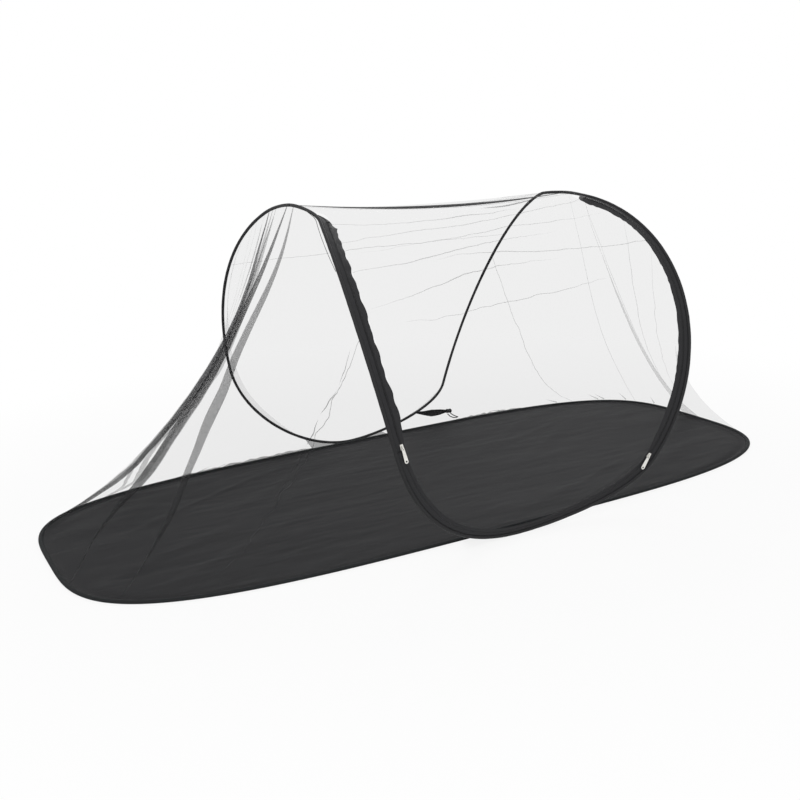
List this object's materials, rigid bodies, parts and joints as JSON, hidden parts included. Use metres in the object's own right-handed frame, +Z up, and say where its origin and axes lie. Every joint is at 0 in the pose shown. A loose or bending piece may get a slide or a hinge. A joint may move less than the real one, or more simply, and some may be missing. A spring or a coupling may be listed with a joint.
{
  "type": "pop up mosquito net tent",
  "caption": "Pop up mosquito net tent for one sleeper: bent spring wire hoops, sheer netting, a dark floor and a zipped net door along one side.",
  "frame": {"origin": "on the ground under the middle of the floor", "axes": "+X along the sleeper from the long net end to the short net end, -Y towards the net door, +Z up"},
  "size_m": [2.0092, 1.0887, 0.7891],
  "materials": {
    "floor_fabric": "satin",
    "binding": "matt",
    "spring_wire": "drawn",
    "netting": "sheer",
    "zip_tape": "woven",
    "zip_chain": "satin",
    "slider_metal": "satin",
    "webbing": "woven",
    "toggle_plastic": "satin"
  },
  "bodies": {
    "tent": {"floor_sheet": "floor_fabric", "front_gusset": "floor_fabric", "back_gusset": "floor_fabric", "floor_binding": "binding", "arch_sleeve_front": "binding", "arch_sleeve_back": "binding", "arch_hoop_wire": "spring_wire", "arch_hoop_ferrule": "spring_wire", "floor_hoop_wire": "spring_wire", "floor_hoop_ferrule": "spring_wire", "left_end_net": "netting", "right_end_net": "netting", "roof_net": "netting", "ridge_tape": "zip_tape", "zip_tape_outer_left": "zip_tape", "zip_tape_outer_right": "zip_tape", "door_sill_band": "zip_tape", "zip_chain_left": "zip_chain", "zip_chain_right": "zip_chain", "zip_stop_top_left": "slider_metal", "zip_stop_top_right": "slider_metal", "zip_stop_low_left": "slider_metal", "zip_stop_low_right": "slider_metal", "keeper_strap": "webbing", "keeper_toggle": "toggle_plastic", "keeper_hook": "toggle_plastic"},
    "door": {"door_net": "netting", "zip_tape_inner_left": "zip_tape", "zip_tape_inner_right": "zip_tape", "door_hem": "zip_tape"},
    "slider_left": {"slider_left": "slider_metal"},
    "slider_right": {"slider_right": "slider_metal"},
    "pull_left": {"pull_left": "slider_metal"},
    "pull_right": {"pull_right": "slider_metal"}
  },
  "joints": [
    {"name": "door_lift", "type": "hinge", "parent": "tent", "child": "door", "pos_m": [0.103, -0.006, 0.76616], "axis": [-0.999, 0, 0.0452], "range_deg": [0, 120]},
    {"name": "zip_left", "type": "hinge", "parent": "tent", "child": "slider_left", "pos_m": [-0.13908, -0.00244, 0.24408], "axis": [-0.9221, 0.3257, -0.2088], "range_deg": [0, 60.9]},
    {"name": "pull_swing_left", "type": "hinge", "parent": "slider_left", "child": "pull_left", "pos_m": [-0.31912, -0.53806, 0.29161], "axis": [-0.9851, -0.0596, -0.1615], "range_deg": [0, 140]},
    {"name": "zip_right", "type": "hinge", "parent": "tent", "child": "slider_right", "pos_m": [0.3045, -0.08625, 0.30717], "axis": [-0.8565, -0.3349, 0.3927], "range_deg": [0, 101.8]},
    {"name": "pull_swing_right", "type": "hinge", "parent": "slider_right", "child": "pull_right", "pos_m": [0.37358, -0.52293, 0.13093], "axis": [-0.8386, 0.1377, 0.5271], "range_deg": [-10.1, 129.9]}
  ]
}
